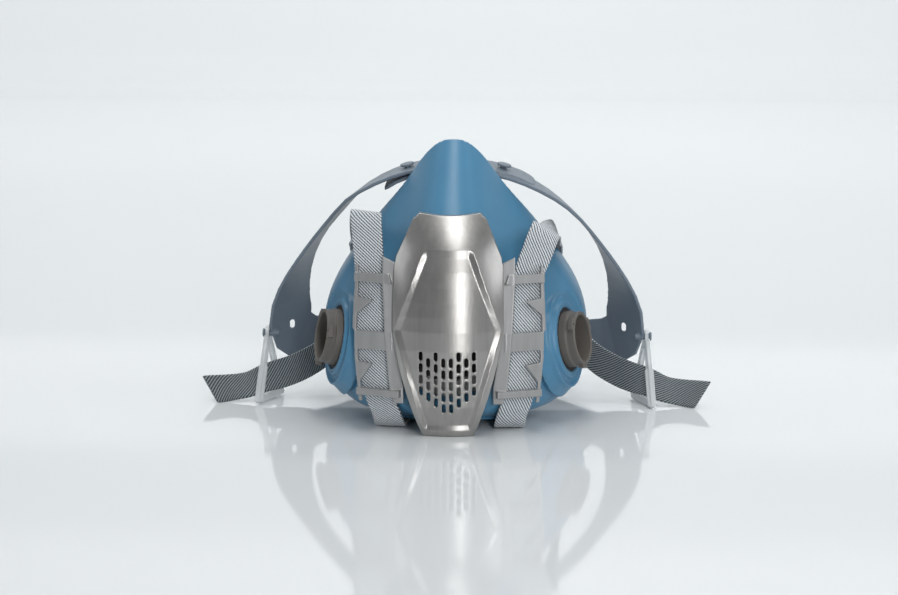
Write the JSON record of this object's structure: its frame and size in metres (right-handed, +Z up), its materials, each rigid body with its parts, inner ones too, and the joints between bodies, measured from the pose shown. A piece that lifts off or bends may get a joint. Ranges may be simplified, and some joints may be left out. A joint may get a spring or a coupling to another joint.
{
  "type": "respirator",
  "caption": "Half-mask respirator: soft facepiece, twin side filter ports, exhalation valve behind a slotted front cover, strap ladders and a folding head cradle.",
  "frame": {"origin": "centre of the bounding box's footprint, on the surface that the respirator stands on", "axes": "+X to the right as seen from in front, +Y back towards the wearer, +Z up; the front cover faces -Y"},
  "size_m": [0.254, 0.1384, 0.1377],
  "materials": {
    "elastomer": "satin moulded elastomer",
    "silver_plastic": "metallic satin",
    "grey_plastic": "satin",
    "port_plastic": "matt",
    "dark_plastic": "matt",
    "valve_rubber": "matt",
    "webbing": "woven twill",
    "clear_plastic": "frosted",
    "cradle_plastic": "satin"
  },
  "bodies": {
    "mask": {"facepiece": "elastomer", "harness_yoke": "grey_plastic", "valve_body": "dark_plastic", "valve_ring": "dark_plastic", "left_port": "port_plastic", "right_port": "port_plastic", "left_port_nut": "dark_plastic", "right_port_nut": "dark_plastic", "left_gasket": "valve_rubber", "right_gasket": "valve_rubber", "left_strap": "webbing", "right_strap": "webbing", "left_buckle": "clear_plastic", "right_buckle": "clear_plastic"},
    "cover": {"front_cover": "silver_plastic"},
    "exhaust_flap": {"exhalation_valve": "valve_rubber"},
    "left_inlet_flap": {"left_inhalation_valve": "valve_rubber"},
    "right_inlet_flap": {"right_inhalation_valve": "valve_rubber"},
    "cradle": {"head_cradle": "cradle_plastic"},
    "clasp_hook": {"neck_clasp_hook": "dark_plastic"},
    "clasp_loop": {"neck_clasp_loop": "dark_plastic"}
  },
  "joints": [
    {"name": "cover_pull", "type": "slide", "parent": "mask", "child": "cover", "axis": [0, -1, 0], "range_m": [0, 0.03]},
    {"name": "exhaust_flap_lift", "type": "slide", "parent": "mask", "child": "exhaust_flap", "axis": [0, -1, 0], "range_m": [0, 0.0015], "stiffness_N_per_m": 40},
    {"name": "left_inlet_flap_lift", "type": "slide", "parent": "mask", "child": "left_inlet_flap", "axis": [0.9366, 0.3043, -0.1736], "range_m": [0, 0.0015], "stiffness_N_per_m": 30},
    {"name": "right_inlet_flap_lift", "type": "slide", "parent": "mask", "child": "right_inlet_flap", "axis": [-0.9366, 0.3043, -0.1736], "range_m": [0, 0.0015], "stiffness_N_per_m": 30},
    {"name": "cradle_swing", "type": "hinge", "parent": "mask", "child": "cradle", "pos_m": [0, 0.02123, 0.0335], "axis": [-1, 0, 0], "range_deg": [0, 20]},
    {"name": "clasp_hook_swing", "type": "hinge", "parent": "mask", "child": "clasp_hook", "pos_m": [-0.016, 0.03023, 0.00295], "axis": [1, 0, 0], "range_deg": [0, 100]},
    {"name": "clasp_loop_swing", "type": "hinge", "parent": "mask", "child": "clasp_loop", "pos_m": [0.016, 0.03023, 0.00295], "axis": [1, 0, 0], "range_deg": [0, 100]}
  ]
}
